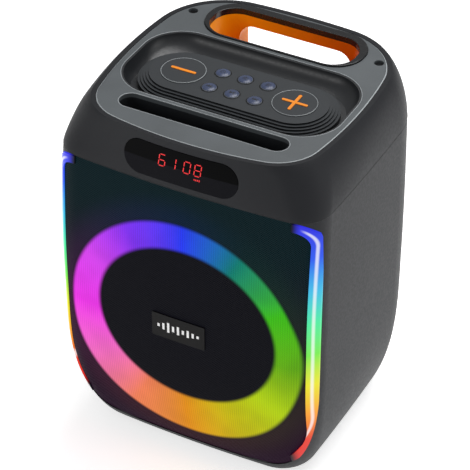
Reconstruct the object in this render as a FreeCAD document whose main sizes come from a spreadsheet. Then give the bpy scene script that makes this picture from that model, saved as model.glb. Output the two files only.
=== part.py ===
import FreeCAD, Part
import Sketcher
import math
import os

# Party speaker: a tall rounded cabinet with one 6.5 inch driver behind a mesh front, a light ring
# and two light bars, a control dish, a tablet slot and a carrying handle on top.
# Millimetres. +X is the speaker's left-to-right seen from the front, the front faces -Y, +Z is up.
# The origin is the centre of the footprint at the height the feet stand on.

Vector = FreeCAD.Vector
Rotation = FreeCAD.Rotation
UP = Vector(0, 0, 1)
FACE_FRONT = Rotation(Vector(1, 0, 0), 90)

doc = FreeCAD.newDocument("party_speaker")
sheet = doc.addObject("Spreadsheet::Sheet", "Dims")

DIMENSIONS = {
    # overall form
    "height": 330, "half_width": 123.5, "half_depth": 114, "foot_height": 3, "split_z": 288,
    "waist_z": 175, "waist_span": 113, "side_bulge": 1.8, "front_bulge": 4,
    "base_round_z": 96, "base_round_in": 28, "toe_round_z": 100, "toe_round_in": 22,
    "heel_round_z": 40, "heel_round_in": 12,
    "shoulder_z": 290, "shoulder_high": 42, "shoulder_in": 16.5, "rear_shoulder_in": 2.5,
    "side_radius": 2600, "top_side_radius": 400, "front_radius": 1200, "brow_radius": 350, "rear_radius": 600,
    "front_corner": 27, "brow_corner": 44, "rear_corner": 64,
    "wall": 3, "gap": 0.3, "far": 140, "shell_joint": 50,
    # top panel, tablet slot and carrying handle
    "panel_thick": 4, "rim": 4.2, "panel_edge": 0.8, "ledge": 5,
    "slot_y": -69.1, "slot_half": 76, "slot_radius": 10.4, "slot_deep": 24, "trough_wall": 1.6,
    "grip_half": 67, "grip_front": 51, "grip_back": 96, "grip_corner": 21, "grip_deep": 76,
    "lip_wide": 6, "lip_back": 7.5, "lip_front": 1.2, "lip_proud": 1.6, "lip_edge": 0.55, "liner_wall": 2.5,
    "window_half": 53, "window_low": 264, "window_high": 316, "window_corner": 14,
    # control dish and island
    "dish_half": 96.5, "dish_front": -53, "dish_back": 44, "dish_corner": 34, "dish_deep": 13,
    "dish_wall": 1.8, "dish_side_run": 6, "dish_back_run": 13, "dish_front_run": 2,
    "service_half": 58, "service_front": -27, "service_back": 12, "post_x": 63, "post_y": 15,
    "island_half": 88.5, "island_front": -46, "island_back": 29, "step_wide": 2.3,
    "step_high": 1.5, "island_rise": 3.5, "island_skin": 2.2, "island_hollow": 13,
    # keys
    "key_line": -8, "volume_x": 51, "volume_radius": 18.7, "small_pitch": 20.7, "row_offset": 12,
    "small_radius": 6.4, "key_gap": 0.4, "key_proud": 0.7, "key_edge": 0.6,
    "flange_extra": 1.2, "flange_thick": 1, "flange_gap": 0.1, "stem_radius": 1.7, "stem_dip": 1.2,
    "inlay_half": 11.5, "inlay_half_wide": 1.3, "inlay_corner": 1.1, "inlay_thick": 0.6,
    "board_z": 303, "board_thick": 1.6, "board_half": 68, "board_half_wide": 22,
    "switch_side": 7, "switch_high": 4.3, "switch_hole": 2.2, "dome_radius": 1.9, "dome_high": 2,
    # fasteners on top
    "screw_x": 87, "screw_y": 75, "screw_well": 4.2, "boss_radius": 6, "boss_high": 24,
    "head_radius": 3.2, "head_high": 2.2, "shank_radius": 1.5, "shank_long": 14,
    # display
    "display_z": 308.5, "display_half": 51, "display_half_high": 15.2, "display_proud": 0.3,
    "display_thick": 2.2, "module_y": -95, "module_thick": 6.5,
    # front opening, bars and grille
    "opening_half": 120.6, "opening_low": 14, "opening_high": 287.6, "opening_deep": -92,
    "opening_top_corner": 22, "opening_low_corner": 62,
    "bar_wide": 7.6, "bar_hook": 98, "bar_proud": 0.7, "bar_thick": 4.2,
    "strip_thick": 1.2, "strip_wide": 3, "strip_x": 113.2, "strip_y": -91,
    "strip_low": 88, "strip_high": 262, "grille_in": 0.9, "grille_thick": 1.4,
    "frame_in": 4.2, "frame_back": -86, "frame_wide": 10, "frame_low": 5,
    "badge_half": 24.7, "badge_half_high": 12, "badge_z": 148, "badge_thick": 1.2,
    # baffle, light ring and driver
    "driver_z": 132, "baffle_thick": 9, "baffle_half": 111, "baffle_low": 15, "baffle_high": 281,
    "baffle_low_corner": 56, "baffle_top_corner": 18, "cutout_radius": 70,
    "ring_outer": 109.5, "ring_inner": 82, "ring_high": 5.4, "ring_wall": 1.6,
    "ring_board_thick": 1.2, "ring_led_radius": 2.5, "ring_led_high": 1.2,
    "basket_radius": 80, "basket_flange": 3.2, "flange_inner": 66.8, "basket_mid": 46,
    "basket_sheet": 2.4, "plate_y": -30, "cone_radius": 58, "cone_y": -86.4, "cone_depth": 24,
    "cone_thick": 1, "cap_radius": 18.8, "cap_high": 8, "coil_radius": 16.4, "coil_wall": 0.8,
    "coil_end": -18, "plate_thick": 6, "plate_bore": 17.2, "magnet_radius": 45, "magnet_bore": 22,
    "magnet_thick": 18, "pole_radius": 14.6, "spider_y": -41, "spider_thick": 0.6,
    "roll_thick": 0.6, "driver_screw_ring": 75,
    # rear and inside
    "port_z": 172, "port_radius": 15.5, "port_wall": 2.4, "port_start": 34, "port_flange": 24,
    "io_half": 46, "io_low": 40, "io_high": 104, "io_corner": 8, "io_y": 101, "io_thick": 3,
    "io_wall": 2.6, "mic_x": 28, "mic_z": 86, "mic_radius": 5.6, "mic_bore": 3.25, "mic_long": 18,
    "aux_x": 0, "aux_radius": 3.6, "aux_bore": 1.8, "aux_long": 14,
    "usb_x": -22, "usb_z": 58, "usb_wide": 14.5, "usb_high": 7.2, "usb_wall": 0.9, "usb_long": 16,
    "charge_x": 22, "charge_half": 4.6, "charge_half_high": 1.7, "charge_wall": 0.4,
    "charge_long": 8, "amp_y": 78, "amp_half": 55, "amp_low": 34, "amp_high": 110,
    "amp_thick": 1.6, "sink_half": 30, "sink_low": 50, "sink_high": 94, "sink_base": 3,
    "fin_long": 12, "fin_thick": 1.6, "fin_pitch": 6,
    "cell_radius": 9.2, "cell_long": 65, "cell_pitch": 19, "tray_z": 6.2, "tray_wall": 2,
    "tray_high": 12, "foot_x": 62, "foot_y": 64, "foot_radius": 11,
}
for row, (alias, value) in enumerate(DIMENSIONS.items(), start=1):
    sheet.set(f"A{row}", alias)
    sheet.set(f"B{row}", str(value))
    sheet.setAlias(f"B{row}", alias)
doc.recompute()

nodes = []


def size(text):
    """The value of an expression over the sheet's aliases."""
    return float(sheet.evalExpression(bind(text)))


def bind(text):
    """Turn bare aliases into references to the sheet: 'wall * 2' becomes 'Dims.wall * 2'."""
    words = str(text).replace("(", " ( ").replace(")", " ) ").split()
    return " ".join("Dims." + word if word in DIMENSIONS else word for word in words)


def node(thing, label):
    """Name a finished piece; each one becomes a file of its own."""
    thing.Label = label
    nodes.append(thing)
    return thing


def place(thing, x="0", y="0", z="0", turn=None):
    """Put a thing at sheet-driven coordinates, turned first if asked."""
    if turn:
        thing.Placement = FreeCAD.Placement(Vector(), turn)
    for axis, text in (("x", x), ("y", y), ("z", z)):
        thing.setExpression(f"Placement.Base.{axis}", bind(text))
    return thing


# ---------------------------------------------------------------- building blocks

def outline(sketch, half, low, high, low_corner, high_corner):
    """A rectangle, mirror-symmetric in x, with its own radius for the low and high corners."""
    a, y0, y1, r0, r1 = (size(text) for text in (half, low, high, low_corner, high_corner))
    quarter = math.pi / 2
    corners = [(a - r0, y0 + r0, r0, -1), (a - r1, y1 - r1, r1, 0),
               (r1 - a, y1 - r1, r1, 1), (r0 - a, y0 + r0, r0, 2)]
    sides = [((r0 - a, y0), (a - r0, y0)), ((a, y0 + r0), (a, y1 - r1)),
             ((a - r1, y1), (r1 - a, y1)), ((-a, y1 - r1), (-a, y0 + r0))]
    for (start, end), (x, y, radius, turns) in zip(sides, corners):
        sketch.addGeometry(Part.LineSegment(Vector(*start, 0), Vector(*end, 0)), False)
        circle = Part.Circle(Vector(x, y, 0), UP, radius)
        sketch.addGeometry(Part.ArcOfCircle(circle, turns * quarter, (turns + 1) * quarter), False)
    constrain(sketch, half, low, high, low_corner, high_corner)


def constrain(sketch, half, low, high, low_corner, high_corner):
    """Pin the outline: tangent joints, level and plumb sides, then sizes from the sheet."""
    rule = Sketcher.Constraint
    for index in range(8):
        sketch.addConstraint(rule("Tangent", index, 2, (index + 1) % 8, 1))
    for index, kind in ((0, "Horizontal"), (2, "Vertical"), (4, "Horizontal"), (6, "Vertical")):
        sketch.addConstraint(rule(kind, index))
    driven = [(rule("Radius", index, size(text)), text)
              for index, text in ((1, low_corner), (3, high_corner), (5, high_corner), (7, low_corner))]
    driven += [(rule("DistanceX", -1, 1, 2, 1, size(half)), half),
               (rule("DistanceX", -1, 1, 6, 1, -size(half)), f"0 - ( {half} )"),
               (rule("DistanceY", -1, 1, 0, 1, size(low)), low),
               (rule("DistanceY", -1, 1, 4, 1, size(high)), high)]
    for constraint, text in driven:
        index = sketch.addConstraint(constraint)
        sketch.setExpression(f"Constraints[{index}]", bind(text))


def slab(name, half, low, high, corner, thick, high_corner=None, **where):
    """A PartDesign plate: a rounded outline padded along its own normal."""
    body = doc.addObject("PartDesign::Body", name)
    sketch = body.newObject("Sketcher::SketchObject", name + "_outline")
    plane = next(item for item in body.Origin.OriginFeatures if item.Role == "XY_Plane")
    sketch.AttachmentSupport = [(plane, "")]
    sketch.MapMode = "FlatFace"
    outline(sketch, half, low, high, corner, high_corner or corner)
    pad = body.newObject("PartDesign::Pad", name + "_pad")
    pad.Profile = sketch
    pad.setExpression("Length", bind(thick))
    sketch.Visibility = False
    return place(body, **where)


def primitive(kind, name, sizes, **where):
    """A Part primitive whose sizes are expressions over the sheet."""
    thing = doc.addObject("Part::" + kind, name)
    for prop, text in sizes.items():
        thing.setExpression(prop, bind(text))
    return place(thing, **where)


def rod(name, radius, high, **where):
    return primitive("Cylinder", name, {"Radius": radius, "Height": high}, **where)


def box(name, wide, deep, high, x, y, z):
    """A block given by its sizes and its lowest corner."""
    return primitive("Box", name, {"Length": wide, "Width": deep, "Height": high}, x=x, y=y, z=z)


def cut(name, base, *tools):
    """Base minus every tool in turn."""
    for index, tool in enumerate(tools):
        result = doc.addObject("Part::Cut", f"{name}_cut{index}")
        result.Base = base
        result.Tool = tool
        base = result
    return base


def common(name, base, tool):
    result = doc.addObject("Part::Common", name)
    result.Base = base
    result.Tool = tool
    return result


def fuse(name, *things):
    result = doc.addObject("Part::MultiFuse", name)
    result.Shapes = list(things)
    return result


def group(name, *things):
    """Separate solids kept in one piece, such as a set of screws."""
    result = doc.addObject("Part::Compound", name)
    result.Links = list(things)
    return result


def feature(name, shape):
    thing = doc.addObject("Part::Feature", name)
    thing.Shape = shape
    return thing


def turned(name, profile, y=0, z=0, x=0):
    """A solid of revolution about an axis along Y; the profile is (radius, depth) pairs."""
    points = [Vector(x + radius, depth, z) for radius, depth in profile]
    face = Part.Face(Part.makePolygon(points + points[:1]))
    solid = face.revolve(Vector(x, 0, z), Vector(0, 1, 0), 360)
    solid.translate(Vector(0, y, 0))
    return feature(name, solid)


# ---------------------------------------------------------------- the outer form

def quarter_ellipse(distance, span):
    """0 where the rounding starts, towards 1 where it would turn level."""
    share = min(max(distance / span, 0), 1)
    return 1 - math.sqrt(1 - share * share)


def section(z, inset):
    """The closed outline of the form at height z: eight tangent arcs, all walls moved in by inset."""
    bow = ((z - size("waist_z")) / size("waist_span")) ** 2
    crown = quarter_ellipse(z - size("shoulder_z"), size("shoulder_high"))
    foot = size("foot_height")
    low = {name: quarter_ellipse(size(name + "_z") + foot - z, size(name + "_z")) * size(name + "_in")
           for name in ("base_round", "toe_round", "heel_round")}
    half = size("half_width") - size("side_bulge") * bow - low["base_round"] - crown * size("shoulder_in")
    front = size("front_bulge") * bow + low["toe_round"] - size("half_depth")
    rear = size("half_depth") - low["heel_round"] - crown * size("rear_shoulder_in")
    rise = min(max((z - size("shoulder_z")) / (size("height") - size("shoulder_z")), 0), 1)
    front_radius = 1 / ((1 - rise) / size("front_radius") + rise / size("brow_radius"))
    side_radius = 1 / ((1 - rise) / size("side_radius") + rise / size("top_side_radius"))
    front_corner = size("front_corner") + rise * (size("brow_corner") - size("front_corner"))
    ends = [(front + inset, front_radius - inset, front_corner - inset, -1),
            (rear - inset, size("rear_radius") - inset, size("rear_corner") - inset, 1)]
    return eight_arcs(half - inset, side_radius - inset, ends, z)


def corner_centre(side, side_radius, end, end_radius, radius, way):
    """Centre of the corner arc that touches a side arc and an end arc from inside."""
    reach_side = side_radius - radius
    reach_end = end_radius - radius
    apart = end - side
    along = (reach_side ** 2 - reach_end ** 2 + apart.Length ** 2) / (2 * apart.Length)
    across = math.sqrt(reach_side ** 2 - along ** 2)
    direction = Vector(apart).normalize()
    normal = Vector(-direction.y, direction.x, 0)
    foot = side + direction * along
    return max((foot + normal * across, foot - normal * across), key=lambda p: p.x + way * p.y)


def eight_arcs(half, side_radius, ends, z):
    """Wire of front, rear and side arcs with a corner arc between each pair."""
    middle = (ends[0][0] + ends[1][0]) / 2
    side = Vector(half - side_radius, middle, z)
    joints = []
    arcs = []
    for reach, radius, corner, way in ends:
        end = Vector(0, reach - way * radius, z)
        centre = corner_centre(side, side_radius, end, radius, corner, way)
        on_end = end + (centre - end).normalize() * radius
        on_side = side + (centre - side).normalize() * side_radius
        halfway = (on_end - centre + on_side - centre).normalize() * corner
        joints.append((on_end, on_side))
        arcs.append((mirrored(on_end), Vector(0, reach, z), on_end))
        arcs.append((on_end, centre + halfway, on_side))
        arcs.append((mirrored(on_side), mirrored(centre + halfway), mirrored(on_end)))
    (_, front_side), (_, rear_side) = joints
    arcs.append((front_side, Vector(half, middle, z), rear_side))
    arcs.append((mirrored(rear_side), Vector(-half, middle, z), mirrored(front_side)))
    return Part.Wire(Part.__sortEdges__([Part.Arc(*points).toShape() for points in arcs]))


def mirrored(point):
    return Vector(-point.x, point.y, point.z)


FOOT_LEVELS = (0, 2, 6, 13, 23, 38, 60, 85, 130, 180, 225, 262)
SHOULDER_LEVELS = (0, 8, 16, 24, 31, 36, 40, 42)


def form(inset, low, high):
    """The solid of the outer form between two heights, with its walls moved in by inset."""
    levels = [size("foot_height") + level for level in FOOT_LEVELS]
    levels += [size("split_z") + level for level in SHOULDER_LEVELS]
    inside = [low] + [level for level in levels if low + 1 < level < high - 1] + [high]
    return Part.makeLoft([section(level, inset) for level in inside], True, False)


def prism(z, inset, thick):
    """A flat plate with the form's outline at height z."""
    return Part.Face(section(z, inset)).extrude(Vector(0, 0, thick))


def whole(inset):
    """The full-height form, for trimming pieces that cross the split between the two shells."""
    return form(inset, size("foot_height"), size("height"))


def skin(name, outer, inner, low, high):
    """The layer of the form between two insets and two heights."""
    return feature(name, form(outer, low, high).cut(form(inner, low, high)))


def front_slab(name, inset, start="opening_deep"):
    """A prism through the front with the outline of the opening, moved in by inset."""
    return slab(name, f"opening_half - ( {inset} )", f"opening_low + {inset}",
                f"opening_high - ( {inset} )", f"opening_low_corner - ( {inset} )", "far",
                high_corner=f"opening_top_corner - ( {inset} )", y=start, turn=FACE_FRONT)


# ---------------------------------------------------------------- top of the speaker

def top_panel():
    """Grey cover plate with the tablet slot, the dish, the handle opening and two screw wells."""
    low = size("height - panel_thick")
    plate = Part.Face(section(size("height"), size("rim"))).extrude(Vector(0, 0, -size("panel_thick")))
    top = [edge for edge in plate.Edges if edge.BoundBox.ZMin > low + 1]
    plate = plate.makeChamfer(size("panel_edge"), top)
    through = "panel_thick + 4"
    under = "height - panel_thick - 2"
    slot = slab("panel_slot", "slot_half", "0 - slot_radius", "slot_radius", "slot_radius - 0.1",
                through, y="slot_y", z=under)
    grown = "dish_wall + gap"
    dish = slab("panel_dish", f"dish_half + {grown}", f"dish_front - ( {grown} )", f"dish_back + {grown}",
                f"dish_corner + {grown}", through, z=under)
    grip = slab("panel_grip", "grip_half + lip_wide + gap", "grip_front - lip_front - gap",
                "grip_back + lip_back + gap", "grip_corner + 5", through, z=under)
    wells = [rod(f"panel_well{way}", "screw_well", through, x=f"{way} * screw_x", y="screw_y", z=under)
             for way in (-1, 1)]
    node(cut("panel", feature("panel_plate", plate), slot, dish, grip, *wells), "top_panel")


def tablet_trough():
    """Closed channel under the slot that a tablet or phone stands in."""
    grow = "trough_wall"
    outer = slab("trough_outer", f"slot_half + {grow}", f"0 - slot_radius - {grow}",
                 f"slot_radius + {grow}", f"slot_radius + {grow} - 0.1", "slot_deep", y="slot_y",
                 z="height - panel_thick - slot_deep")
    inner = slab("trough_inner", "slot_half", "0 - slot_radius", "slot_radius", "slot_radius - 0.1",
                 "slot_deep", y="slot_y", z="height - panel_thick - slot_deep + trough_wall")
    node(cut("trough", outer, inner), "tablet_trough")


def handle():
    """Orange liner that makes the grip: a pocket under the opening and a duct out of the back."""
    top = "height - panel_thick - 0.2"
    floor = f"{top} - grip_deep"
    outer = slab("liner_outer", "grip_half + liner_wall", "grip_front - liner_wall",
                 "grip_back + liner_wall", "grip_corner + liner_wall", "grip_deep", z=floor)
    duct = slab("liner_duct", "window_half + liner_wall", "window_low - liner_wall",
                "window_high + liner_wall", "window_corner + liner_wall", "20",
                y="grip_back + 20", turn=FACE_FRONT)
    trimmed = common("liner_trim", duct, feature("liner_form", whole(size("gap"))))
    shell = fuse("liner_shell", outer, trimmed)
    inner = slab("liner_inner", "grip_half", "grip_front", "grip_back", "grip_corner", "grip_deep",
                 z=f"{floor} + liner_wall")
    window = slab("liner_window", "window_half", "window_low", "window_high", "window_corner", "30",
                  y="grip_back + 25", turn=FACE_FRONT)
    node(cut("liner", shell, inner, window), "handle_liner")
    bead = slab("lip_outer", "grip_half + lip_wide", "grip_front - lip_front", "grip_back + lip_back",
                "grip_corner + 5", "panel_thick + lip_proud", z="height - panel_thick")
    hole = slab("lip_inner", "grip_half", "grip_front", "grip_back", "grip_corner", "20", z=f"{top} - 5")
    node(rounded_top(cut("lip", bead, hole), size("lip_edge")), "handle_lip")


def rounded_top(thing, radius):
    """Fillet the outer and inner edges of a piece's top face."""
    doc.recompute()
    top = thing.Shape.BoundBox.ZMax
    edges = [index for index, edge in enumerate(thing.Shape.Edges, start=1)
             if edge.BoundBox.ZMin > top - 0.01]
    result = doc.addObject("Part::Fillet", thing.Name + "_round")
    result.Base = thing
    result.Edges = [(index, radius, radius) for index in edges]
    return result


def dish():
    """Dark well around the controls: a smooth concave wall down to a flat floor."""
    outer = common("dish_trim", well("dish_outer", "dish_wall", "0 - dish_wall"), dish_prism("dish", "dish_wall"))
    inner = well("dish_inner", "0", "0")
    hole = slab("dish_service", "service_half", "service_front", "service_back", "6", "20",
                z="height - dish_deep - 10")
    posts = [rod(f"dish_post{index}", "2.6", "height - dish_deep - dish_wall + 0.5 - board_z - board_thick",
                 x=f"{way_x} * post_x", y=f"key_line + {way_y} * post_y", z="board_z + board_thick")
             for index, (way_x, way_y) in enumerate(((-1, -1), (1, -1), (-1, 1), (1, 1)))]
    node(fuse("dish", cut("dish_shell", outer, inner, hole), *posts), "control_dish")


def dish_prism(owner, grow):
    """Upright prism with the outline of the well's rim, grown by a margin."""
    return slab(f"{owner}_rim_prism", f"dish_half + {grow}", f"dish_front - ( {grow} )",
                f"dish_back + {grow}", f"dish_corner + {grow}", "40", z="height - 30")


def grip_prism(owner, grow):
    """Upright prism with the outline of the handle's pocket, grown by a margin."""
    return slab(f"{owner}_grip_prism", f"grip_half + {grow}", f"grip_front - ( {grow} )",
                f"grip_back + {grow}", f"grip_corner + {grow}", "grip_deep + 20",
                z="height - panel_thick - grip_deep - 1")


def well(name, grow, drop):
    """Solid of the well: three rounded outlines lofted from the rim to the floor."""
    sections = []
    for step, (share, level) in enumerate(((0, 0), (0.3, 0.6), (1, 1))):
        sketch = doc.addObject("Sketcher::SketchObject", f"{name}_section{step}")
        outline(sketch, f"dish_half + {grow} - {share} * dish_side_run",
                f"dish_front - {grow} + {share} * dish_front_run",
                f"dish_back + {grow} - {share} * dish_back_run",
                f"dish_corner + {grow} - {share} * 2", f"dish_corner + {grow} - {share} * 2")
        lowered = f"{level} * ( dish_deep - ( {drop} ) )"
        place(sketch, z=f"height - 0.4 - {lowered}")
        sections.append(sketch)
    loft = doc.addObject("Part::Loft", name)
    loft.Sections = sections
    loft.Solid = True
    return loft


ISLAND_STEPS = 5


def island():
    """Stepped island that carries the keys: stacked outlines, hollow underneath."""
    floor = "height - dish_deep - 0.4"
    steps = []
    for step in range(ISLAND_STEPS):
        move = f"{step} * step_wide"
        steps.append(slab(f"island_step{step}", f"island_half - {move}", f"island_front + {move}",
                          f"island_back - {move}", f"( island_back - island_front ) / 2 - 0.2 - {move}",
                          f"island_rise + {step + 1} * step_high", z=floor))
    hollow = slab("island_hollow_cut", "island_half - island_hollow", "island_front + island_hollow",
                  "island_back - island_hollow", "20",
                  f"island_rise + {ISLAND_STEPS} * step_high - island_skin + 1", z=f"{floor} - 1")
    holes = [rod(f"island_hole_{name}", f"{radius} + key_gap", "30", x=x, y=y, z=floor)
             for name, radius, x, y in key_places()]
    node(cut("island", fuse("island_stack", *steps), hollow, *holes), "control_island")


def key_places():
    """Name, radius and centre of every key."""
    places = [("volume_down_key", "volume_radius", "0 - volume_x", "key_line"),
              ("volume_up_key", "volume_radius", "volume_x", "key_line")]
    rows = ((1, ("power_key", "light_key", "mode_key")), (-1, ("previous_key", "play_key", "next_key")))
    for way, names in rows:
        for column, name in enumerate(names, start=-1):
            places.append((name, "small_radius", f"{column} * small_pitch",
                           f"key_line + {way} * row_offset"))
    return places


PLATEAU = f"( height - dish_deep - 0.4 + island_rise + {ISLAND_STEPS} * step_high )"


def keys():
    """Eight push keys, each with a retaining flange and a stem that reaches into its switch."""
    flange_z = f"( {PLATEAU} - island_skin - flange_gap - flange_thick )"
    tip_z = "( board_z + board_thick + switch_high - stem_dip )"
    for name, radius, x, y in key_places():
        cap = doc.addObject("PartDesign::Body", name + "_cap")
        disc(cap, name + "_disc", radius, f"{PLATEAU} + key_proud - {flange_z} - flange_thick")
        place(cap, x=x, y=y, z=f"{flange_z} + flange_thick")
        flange = rod(name + "_flange", f"{radius} + flange_extra", "flange_thick", x=x, y=y, z=flange_z)
        stem = rod(name + "_stem", "stem_radius", f"{flange_z} - {tip_z}", x=x, y=y, z=tip_z)
        node(fuse(name, cap, flange, stem), name)


def disc(body, name, radius, thick):
    """A padded circle with a filleted top edge."""
    sketch = body.newObject("Sketcher::SketchObject", name + "_circle")
    plane = next(item for item in body.Origin.OriginFeatures if item.Role == "XY_Plane")
    sketch.AttachmentSupport = [(plane, "")]
    sketch.MapMode = "FlatFace"
    sketch.addGeometry(Part.Circle(Vector(), UP, size(radius)), False)
    sketch.addConstraint(Sketcher.Constraint("Coincident", 0, 3, -1, 1))
    index = sketch.addConstraint(Sketcher.Constraint("Radius", 0, size(radius)))
    sketch.setExpression(f"Constraints[{index}]", bind(radius))
    pad = body.newObject("PartDesign::Pad", name + "_pad")
    pad.Profile = sketch
    pad.setExpression("Length", bind(thick))
    sketch.Visibility = False
    doc.recompute()
    top = pad.Shape.BoundBox.ZMax
    rim = next(f"Edge{index}" for index, edge in enumerate(pad.Shape.Edges, start=1)
               if edge.BoundBox.ZMin > top - 0.01)
    fillet = body.newObject("PartDesign::Fillet", name + "_edge")
    fillet.Base = (pad, [rim])
    fillet.setExpression("Radius", bind("key_edge"))
    body.Tip = fillet


def inlays():
    """Orange bars set on the volume keys."""
    top = f"{PLATEAU} + key_proud"

    def bar(name, way, turn=None):
        return slab(name, "inlay_half", "0 - inlay_half_wide", "inlay_half_wide", "inlay_corner",
                    "inlay_thick", x=f"{way} * volume_x", y="key_line", z=top, turn=turn)
    node(bar("minus_bar", -1), "minus_inlay")
    cross = fuse("plus_bars", bar("plus_along", 1), bar("plus_across", 1, Rotation(UP, 90)))
    node(cross, "plus_inlay")


def key_electronics():
    """Board under the island with one tactile switch below each stem."""
    node(slab("key_board", "board_half", "0 - board_half_wide", "board_half_wide", "4", "board_thick",
              y="key_line", z="board_z"), "key_board")
    top = "board_z + board_thick"
    pieces = []
    for name, _, x, y in key_places():
        frame = box(name + "_housing", "switch_side", "switch_side", "switch_high",
                    f"{x} - switch_side / 2", f"{y} - switch_side / 2", top)
        hole = rod(name + "_bore", "switch_hole", "switch_high + 2", x=x, y=y, z=f"{top} - 1")
        pieces.append(cut(name + "_frame", frame, hole))
        pieces.append(rod(name + "_dome", "dome_radius", "dome_high", x=x, y=y, z=top))
    node(group("switches", *pieces), "tact_switches")


def upper_housing():
    """Top shell: carries the panel on a ledge and has the display opening and the handle's back."""
    top = size("height")
    split = size("split_z")
    ledge_z = top - size("panel_thick")
    outer = form(0, split, top)
    inner = form(size("wall"), split, ledge_z - size("wall"))
    seat = prism(top, size("rim - 0.15"), 10)
    seat.translate(Vector(0, 0, -size("panel_thick")))
    throat = prism(top, size("rim + ledge"), 20)
    throat.translate(Vector(0, 0, -12))
    shell = feature("housing_shell", outer.cut([inner, seat, throat]))
    bosses = [rod(f"housing_boss{way}", "boss_radius", "boss_high", x=f"{way} * screw_x", y="screw_y",
                  z="height - panel_thick - boss_high") for way in (-1, 1)]
    threads = [rod(f"housing_thread{way}", "shank_radius", "shank_long", x=f"{way} * screw_x",
                   y="screw_y", z="height - panel_thick - shank_long") for way in (-1, 1)]
    display = display_prism("housing_display", "display_half + gap", "display_half_high + gap")
    body = cut("housing", fuse("housing_bossed", shell, *bosses), window_tool("housing"), display,
               dish_prism("housing", "dish_wall + gap"), grip_prism("housing", "liner_wall + gap"), *threads)
    node(body, "upper_housing")


def window_tool(owner):
    """Prism of the handle's rear opening, a little larger than the liner's duct."""
    grow = "liner_wall + gap"
    return slab(owner + "_window", f"window_half + {grow}", f"window_low - ( {grow} )",
                f"window_high + {grow}", f"window_corner + {grow}", "30", y="grip_back + 28",
                turn=FACE_FRONT)


def display_prism(name, half, half_high):
    return slab(name, half, f"0 - ( {half_high} )", half_high, f"{half_high} - 0.1", "far",
                y="opening_deep", z="display_z", turn=FACE_FRONT)


def display():
    """Smoked window that follows the front's curve, with the LED module behind it."""
    low, high = size("split_z"), size("height")
    outer = form(-size("display_proud"), low, high)
    layer = outer.cut(form(size("display_thick"), low, high))
    window = common("display_cut", feature("display_layer", layer),
                    display_prism("display_outline", "display_half", "display_half_high"))
    node(window, "display_window")
    node(slab("module", "display_half - 3", "3 - display_half_high", "display_half_high - 3", "3",
              "module_thick", y="module_y", z="display_z", turn=FACE_FRONT), "display_module")


def panel_screws():
    """Two screws that hold the top panel to the housing's bosses."""
    screws = []
    for way in (-1, 1):
        head = rod(f"panel_head{way}", "head_radius", "head_high", x=f"{way} * screw_x", y="screw_y",
                   z="height - panel_thick")
        shank = rod(f"panel_shank{way}", "shank_radius - 0.05", "shank_long - 1", x=f"{way} * screw_x",
                    y="screw_y", z="height - panel_thick - shank_long + 1")
        screws.append(fuse(f"panel_screw{way}", head, shank))
    node(group("panel_screw_pair", *screws), "panel_screws")


def seam_gasket():
    """Foam ring inside the joint between the two shells."""
    ring = skin("gasket_ring", size("wall + 0.4"), size("wall + 3"), size("split_z"), size("split_z + 5"))
    node(cut("gasket", ring, window_tool("gasket"), grip_prism("gasket", "liner_wall + gap")), "seam_gasket")


# ---------------------------------------------------------------- front of the speaker

def cabinet():
    """Main shell and its rear half, which meet behind the middle, with holes for the port and the sockets."""
    foot, split, wall = size("foot_height"), size("split_z"), size("wall")
    shell = form(0, foot, split).cut(form(wall, foot + wall, split))
    port = rod("cabinet_port", "port_radius + port_wall + gap", "60", y="half_depth + 20", z="port_z",
               turn=FACE_FRONT)
    sockets = slab("cabinet_io", "io_half + gap", "io_low - gap", "io_high + gap", "io_corner + gap",
                   "30", y="half_depth + 10", turn=FACE_FRONT)
    body = cut("cabinet", feature("cabinet_shell", shell), front_slab("cabinet_front", "0 - gap"),
               window_tool("cabinet"), grip_prism("cabinet", "liner_wall + gap"), port, sockets)
    rear = box("rear_half", "2 * far", "far", "height", "0 - far", "shell_joint", "0")
    node(cut("cabinet_front_half", body, rear), "cabinet")
    node(common("cabinet_rear_half", body, rear), "rear_shell")


def front_layer(name, outer, inner):
    """Layer of the whole form that front pieces are cut from."""
    low, high = size("opening_low") - 8, size("split_z")
    return skin(name, size(outer), size(inner), low, high)


def light_bars():
    """Two C-shaped light pipes that follow the front corners."""
    for side, start in (("left", "0 - bar_hook - 40"), ("right", "bar_hook")):
        band = cut(side + "_band", front_slab(side + "_in", "gap"), front_slab(side + "_out", "bar_wide"))
        layer = front_layer(side + "_layer", "0 - bar_proud", "bar_thick - bar_proud")
        curved = common(side + "_curved", layer, band)
        half = box(side + "_half", "40", "80", "300", start, "0 - far", "0")
        node(common(side + "_bar", curved, half), side + "_light_bar")


def strip_boxes(owner, spare):
    """Two upright blocks behind the bars: the LED strips, or with some spare the grooves for them."""
    return [box(f"{owner}_strip{way}", f"strip_wide + 2 * {spare}", f"strip_thick + {spare}",
                f"strip_high - strip_low + 2 * {spare}",
                f"{way} * strip_x - strip_wide / 2 - {spare}", f"strip_y - {spare}",
                f"strip_low - {spare}") for way in (-1, 1)]


def led_strips():
    node(group("strip_pair", *strip_boxes("led", "0")), "bar_led_strips")


def grille():
    """Pressed mesh sheet that fills the front between the bars."""
    layer = front_layer("grille_layer", "grille_in", "grille_in + grille_thick")
    middle = box("grille_middle", "2 * bar_hook - 2 * gap", "80", "300", "gap - bar_hook", "0 - far", "0")
    whole_outline = common("grille_tall", front_slab("grille_edge", "gap"), middle)
    outline_tool = fuse("grille_outline", front_slab("grille_side", "bar_wide + gap"), whole_outline)
    node(common("grille", layer, outline_tool), "grille")
    badge = front_layer("badge_layer", "grille_in - badge_thick", "grille_in - 0.02")
    plate = slab("badge_outline", "badge_half", "badge_z - badge_half_high", "badge_z + badge_half_high",
                 "1.2", "far", y="opening_deep", turn=FACE_FRONT)
    node(common("badge", badge, plate), "badge_plate")


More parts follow.
